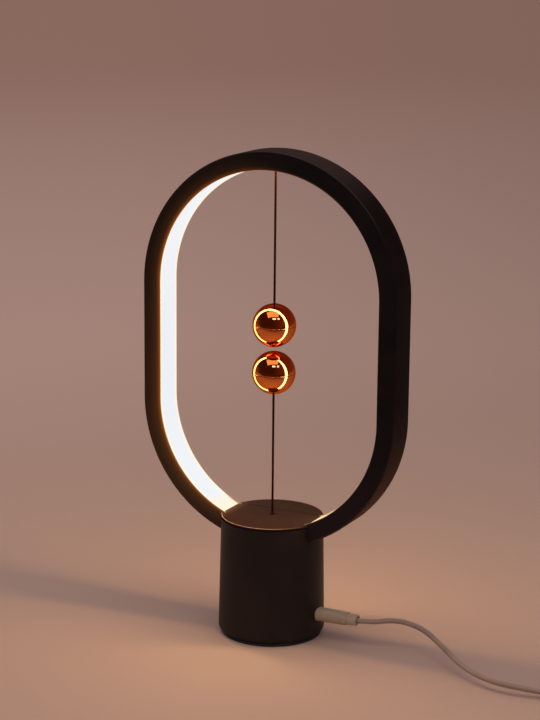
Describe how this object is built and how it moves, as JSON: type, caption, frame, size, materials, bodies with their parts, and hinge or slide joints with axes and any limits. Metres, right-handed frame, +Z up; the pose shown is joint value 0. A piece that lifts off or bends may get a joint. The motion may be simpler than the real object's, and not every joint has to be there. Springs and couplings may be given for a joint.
{
  "type": "magnetic balance lamp",
  "caption": "Ring-shaped table lamp on a round base; two magnetic balls on cords meet in mid-air inside the ring and switch the light.",
  "frame": {"origin": "on the floor, under the middle of the round base", "axes": "+Z up; +X to the right seen from the front, towards the power lead; +Y from the ring's front face to its back"},
  "size_m": [0.424, 0.1539, 0.4],
  "materials": {
    "ring_finish": "matte, very fine texture, very dark brown-black",
    "base_finish": "matte, very fine texture, very dark brown-black",
    "cap_finish": "matte, faint straight grain",
    "dark_plastic": "moulded",
    "rubber_foot": "matte",
    "foam": "closed-cell foam, modelled as rubber",
    "glow_diffuser": "opal, lit from behind",
    "strip_white": "white film",
    "led_yellow": "phosphor",
    "brass": "turned",
    "steel": "zinc plated",
    "board_green": "solder mask",
    "component_black": "moulded",
    "socket_metal": "nickel plated",
    "wire_insulation": "smooth",
    "copper_mirror": "vacuum-plated copper mirror",
    "ball_core": "moulded filler",
    "magnet_nickel": "nickel plated",
    "dark_cord": "tight braided cord",
    "lead_sheath": "smooth matte sheath",
    "plug_moulding": "moulded, satin",
    "tie_black": "smooth strap"
  },
  "bodies": {
    "base": {"ring_body": "ring_finish", "ring_back_cover": "ring_finish", "diffuser": "glow_diffuser", "led_strip_left": "strip_white", "led_strip_right": "strip_white", "leds": "led_yellow", "anchor_bush": "brass", "base_shell": "base_finish", "base_cap_front": "cap_finish", "base_cap_rear": "cap_finish", "cap_grommet": "cap_finish", "bottom_cover": "dark_plastic", "foot_pad": "rubber_foot", "cover_screws": "steel", "ballast": "steel", "ballast_screw": "steel", "ring_saddle": "dark_plastic", "saddle_screws": "steel", "ring_screws": "steel", "plunger_guide": "brass", "guide_nut": "brass", "switch_bracket": "steel", "bracket_screws": "steel", "micro_switch": "dark_plastic", "switch_screws": "steel", "driver_board": "board_green", "board_parts": "component_black", "board_pad": "foam", "board_screws": "steel", "usb_jack": "socket_metal", "led_wires": "wire_insulation", "switch_wires": "wire_insulation"},
    "plunger": {"switch_plunger": "steel", "plunger_cap": "brass", "plunger_collar": "steel", "return_spring": "steel"},
    "switch_lever": {"switch_lever": "steel"},
    "switch_button": {"switch_button": "component_black"},
    "upper_knot": {"upper_bead": "brass"},
    "upper_line": {"upper_string": "dark_cord", "upper_ferrule": "brass"},
    "upper_ball": {"upper_ball_top": "copper_mirror", "upper_ball_bottom": "copper_mirror", "upper_ball_core": "ball_core", "upper_magnet": "magnet_nickel"},
    "lower_knot": {"lower_bead": "brass"},
    "lower_line": {"lower_string": "dark_cord"},
    "lower_slider": {"lower_ferrule": "brass"},
    "lower_ball": {"lower_ball_top": "copper_mirror", "lower_ball_bottom": "copper_mirror", "lower_ball_core": "ball_core", "lower_magnet": "magnet_nickel"},
    "power_lead": {"usb_tip": "socket_metal", "usb_grip": "plug_moulding", "strain_relief": "plug_moulding", "lead": "lead_sheath", "lead_coil": "lead_sheath", "lead_tie": "tie_black", "far_plug_grip": "plug_moulding", "far_plug_shell": "socket_metal"}
  },
  "joints": [
    {"name": "upper_side_swing", "type": "hinge", "parent": "base", "child": "upper_knot", "pos_m": [0, 0, 0.3905], "axis": [0, 1, 0], "range_deg": [-6, 6], "stiffness_Nm_per_rad": 0.15},
    {"name": "upper_front_swing", "type": "hinge", "parent": "upper_knot", "child": "upper_line", "pos_m": [0, 0, 0.3905], "axis": [1, 0, 0], "range_deg": [-6, 6], "stiffness_Nm_per_rad": 0.15},
    {"name": "upper_ball_spin", "type": "hinge", "parent": "upper_line", "child": "upper_ball", "pos_m": [0, 0, 0.25855], "axis": [0, 0, 1], "continuous": true},
    {"name": "switch_pull", "type": "slide", "parent": "base", "child": "plunger", "axis": [0, 0, 1], "range_m": [-0.003, 0], "stiffness_N_per_m": 120, "springref_m": 0.01, "deforming": ["return_spring"]},
    {"name": "switch_lever_tilt", "type": "hinge", "parent": "base", "child": "switch_lever", "pos_m": [-0.015, 0, 0.04515], "axis": [0, 1, 0], "range_deg": [0, 11.6]},
    {"name": "switch_button_press", "type": "slide", "parent": "base", "child": "switch_button", "axis": [0, 0, 1], "range_m": [-0.00082, 0]},
    {"name": "lower_side_swing", "type": "hinge", "parent": "plunger", "child": "lower_knot", "pos_m": [0, 0, 0.094], "axis": [0, 1, 0], "range_deg": [-6.4, 6.4]},
    {"name": "lower_front_swing", "type": "hinge", "parent": "lower_knot", "child": "lower_line", "pos_m": [0, 0, 0.094], "axis": [1, 0, 0], "range_deg": [-6.4, 6.4]},
    {"name": "lower_ball_drop", "type": "slide", "parent": "lower_line", "child": "lower_slider", "axis": [0, 0, 1], "range_m": [-0.0975, 0], "deforming": ["lower_string"]},
    {"name": "lower_ball_spin", "type": "hinge", "parent": "lower_slider", "child": "lower_ball", "pos_m": [0, 0, 0.21945], "axis": [0, 0, 1], "continuous": true},
    {"name": "plug_pull", "type": "slide", "parent": "base", "child": "power_lead", "axis": [1, 0, 0], "range_m": [0, 0.012]}
  ],
  "couplings": [
    {"joint": "lower_side_swing", "follows": "upper_side_swing", "ratio": -1.0518},
    {"joint": "lower_front_swing", "follows": "upper_front_swing", "ratio": -1.0518},
    {"joint": "switch_lever_tilt", "follows": "switch_pull", "rad_per_m": -66.667},
    {"joint": "switch_button_press", "follows": "switch_pull", "ratio": 0.26667}
  ]
}
